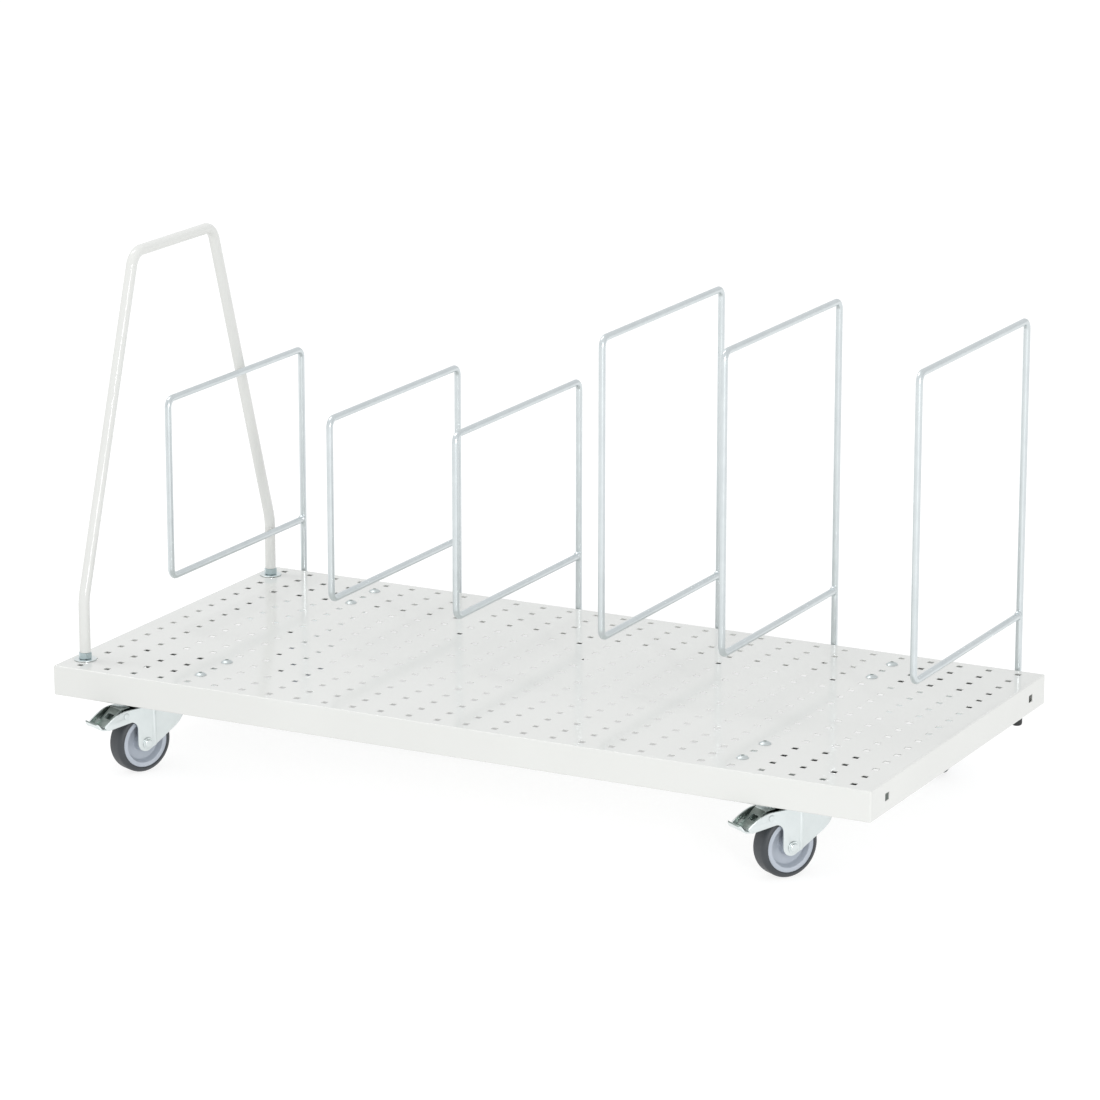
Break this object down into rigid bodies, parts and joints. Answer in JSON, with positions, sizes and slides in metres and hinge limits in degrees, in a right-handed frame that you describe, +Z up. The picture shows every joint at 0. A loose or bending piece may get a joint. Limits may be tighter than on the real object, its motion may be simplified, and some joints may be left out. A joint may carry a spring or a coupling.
{
  "type": "mobile carton rack",
  "caption": "Low platform rack on swivel castors: perforated tray deck, tube push handle at one end and plug-in wire dividers along the rear that hold flat cartons on edge.",
  "frame": {"origin": "on the floor, at the middle of the rack's box", "axes": "+X along the deck away from the push handle, +Y to the rear where the dividers plug in, +Z up"},
  "size_m": [1.425, 0.7437, 0.8143],
  "materials": {
    "powder_coat": "smooth light grey powder coat, semi-gloss",
    "bright_zinc": "bright zinc plate with a faint blue tint",
    "zinc_pressing": "zinc plated pressed sheet steel",
    "rim_plastic": "moulded grey polypropylene",
    "tyre_rubber": "dark grey thermoplastic rubber",
    "black_nylon": "moulded black nylon"
  },
  "bodies": {
    "frame": {"castor_1_kingpin": "bright_zinc", "castor_2_kingpin": "bright_zinc", "castor_3_kingpin": "bright_zinc", "castor_4_kingpin": "bright_zinc", "castor_bracket_1": "zinc_pressing", "castor_bracket_2": "zinc_pressing", "castor_bracket_3": "zinc_pressing", "castor_bracket_4": "zinc_pressing", "deck_bolt_1": "bright_zinc", "deck_bolt_2": "bright_zinc", "deck_bolt_3": "bright_zinc", "deck_bolt_4": "bright_zinc", "deck_bolt_5": "bright_zinc", "deck_bolt_6": "bright_zinc", "deck_bolt_7": "bright_zinc", "deck_bolt_8": "bright_zinc", "deck_bolt_nut_1": "bright_zinc", "deck_bolt_nut_2": "bright_zinc", "deck_bolt_nut_3": "bright_zinc", "deck_bolt_nut_4": "bright_zinc", "deck_bolt_nut_5": "bright_zinc", "deck_bolt_nut_6": "bright_zinc", "deck_bolt_nut_7": "bright_zinc", "deck_bolt_nut_8": "bright_zinc", "deck_tray": "powder_coat", "divider_socket_1": "black_nylon", "divider_socket_2": "black_nylon", "divider_socket_3": "black_nylon", "divider_socket_4": "black_nylon", "divider_socket_5": "black_nylon", "divider_socket_6": "black_nylon", "handle_nut_1": "bright_zinc", "handle_nut_2": "bright_zinc", "handle_washer_1": "bright_zinc", "handle_washer_2": "bright_zinc", "push_handle": "powder_coat"},
    "divider_1": {"divider_1": "bright_zinc"},
    "divider_2": {"divider_2": "bright_zinc"},
    "divider_3": {"divider_3": "bright_zinc"},
    "divider_4": {"divider_4": "bright_zinc"},
    "divider_5": {"divider_5": "bright_zinc"},
    "divider_6": {"divider_6": "bright_zinc"},
    "castor_1_swivel": {"castor_1_fork": "zinc_pressing", "castor_1_axle": "bright_zinc"},
    "castor_1_wheel": {"castor_1_rim": "rim_plastic", "castor_1_tyre": "tyre_rubber"},
    "castor_1_pedal": {"castor_1_brake_pedal": "zinc_pressing"},
    "castor_2_swivel": {"castor_2_fork": "zinc_pressing", "castor_2_axle": "bright_zinc"},
    "castor_2_wheel": {"castor_2_rim": "rim_plastic", "castor_2_tyre": "tyre_rubber"},
    "castor_2_pedal": {"castor_2_brake_pedal": "zinc_pressing"},
    "castor_3_swivel": {"castor_3_fork": "zinc_pressing", "castor_3_axle": "bright_zinc"},
    "castor_3_wheel": {"castor_3_rim": "rim_plastic", "castor_3_tyre": "tyre_rubber"},
    "castor_4_swivel": {"castor_4_fork": "zinc_pressing", "castor_4_axle": "bright_zinc"},
    "castor_4_wheel": {"castor_4_rim": "rim_plastic", "castor_4_tyre": "tyre_rubber"}
  },
  "joints": [
    {"name": "divider_1_lift", "type": "slide", "parent": "frame", "child": "divider_1", "axis": [0, 0, 1], "range_m": [0, 0.09]},
    {"name": "divider_2_lift", "type": "slide", "parent": "frame", "child": "divider_2", "axis": [0, 0, 1], "range_m": [0, 0.09]},
    {"name": "divider_3_lift", "type": "slide", "parent": "frame", "child": "divider_3", "axis": [0, 0, 1], "range_m": [0, 0.09]},
    {"name": "divider_4_lift", "type": "slide", "parent": "frame", "child": "divider_4", "axis": [0, 0, 1], "range_m": [0, 0.09]},
    {"name": "divider_5_lift", "type": "slide", "parent": "frame", "child": "divider_5", "axis": [0, 0, 1], "range_m": [0, 0.09]},
    {"name": "divider_6_lift", "type": "slide", "parent": "frame", "child": "divider_6", "axis": [0, 0, 1], "range_m": [0, 0.09]},
    {"name": "castor_1_turn", "type": "hinge", "parent": "frame", "child": "castor_1_swivel", "pos_m": [-0.57, -0.24382, 0], "axis": [0, 0, 1], "continuous": true},
    {"name": "castor_1_spin", "type": "hinge", "parent": "castor_1_swivel", "child": "castor_1_wheel", "pos_m": [-0.58446, -0.27788, 0.05], "axis": [0.9205, -0.3907, 0], "continuous": true},
    {"name": "castor_1_brake", "type": "hinge", "parent": "castor_1_swivel", "child": "castor_1_pedal", "pos_m": [-0.60009, -0.3147, 0.102], "axis": [0.9205, -0.3907, 0], "range_deg": [0, 15]},
    {"name": "castor_2_turn", "type": "hinge", "parent": "frame", "child": "castor_2_swivel", "pos_m": [0.57, -0.24382, 0], "axis": [0, 0, 1], "continuous": true},
    {"name": "castor_2_spin", "type": "hinge", "parent": "castor_2_swivel", "child": "castor_2_wheel", "pos_m": [0.55094, -0.27554, 0.05], "axis": [0.8572, -0.515, 0], "continuous": true},
    {"name": "castor_2_brake", "type": "hinge", "parent": "castor_2_swivel", "child": "castor_2_pedal", "pos_m": [0.53034, -0.30983, 0.102], "axis": [0.8572, -0.515, 0], "range_deg": [0, 15]},
    {"name": "castor_3_turn", "type": "hinge", "parent": "frame", "child": "castor_3_swivel", "pos_m": [-0.57, 0.27118, 0], "axis": [0, 0, 1], "continuous": true},
    {"name": "castor_3_spin", "type": "hinge", "parent": "castor_3_swivel", "child": "castor_3_wheel", "pos_m": [-0.5885, 0.23913, 0.05], "axis": [0.866, -0.5, 0], "continuous": true},
    {"name": "castor_4_turn", "type": "hinge", "parent": "frame", "child": "castor_4_swivel", "pos_m": [0.57, 0.27118, 0], "axis": [0, 0, 1], "continuous": true},
    {"name": "castor_4_spin", "type": "hinge", "parent": "castor_4_swivel", "child": "castor_4_wheel", "pos_m": [0.55263, 0.30384, 0.05], "axis": [-0.8829, -0.4695, 0], "continuous": true}
  ]
}
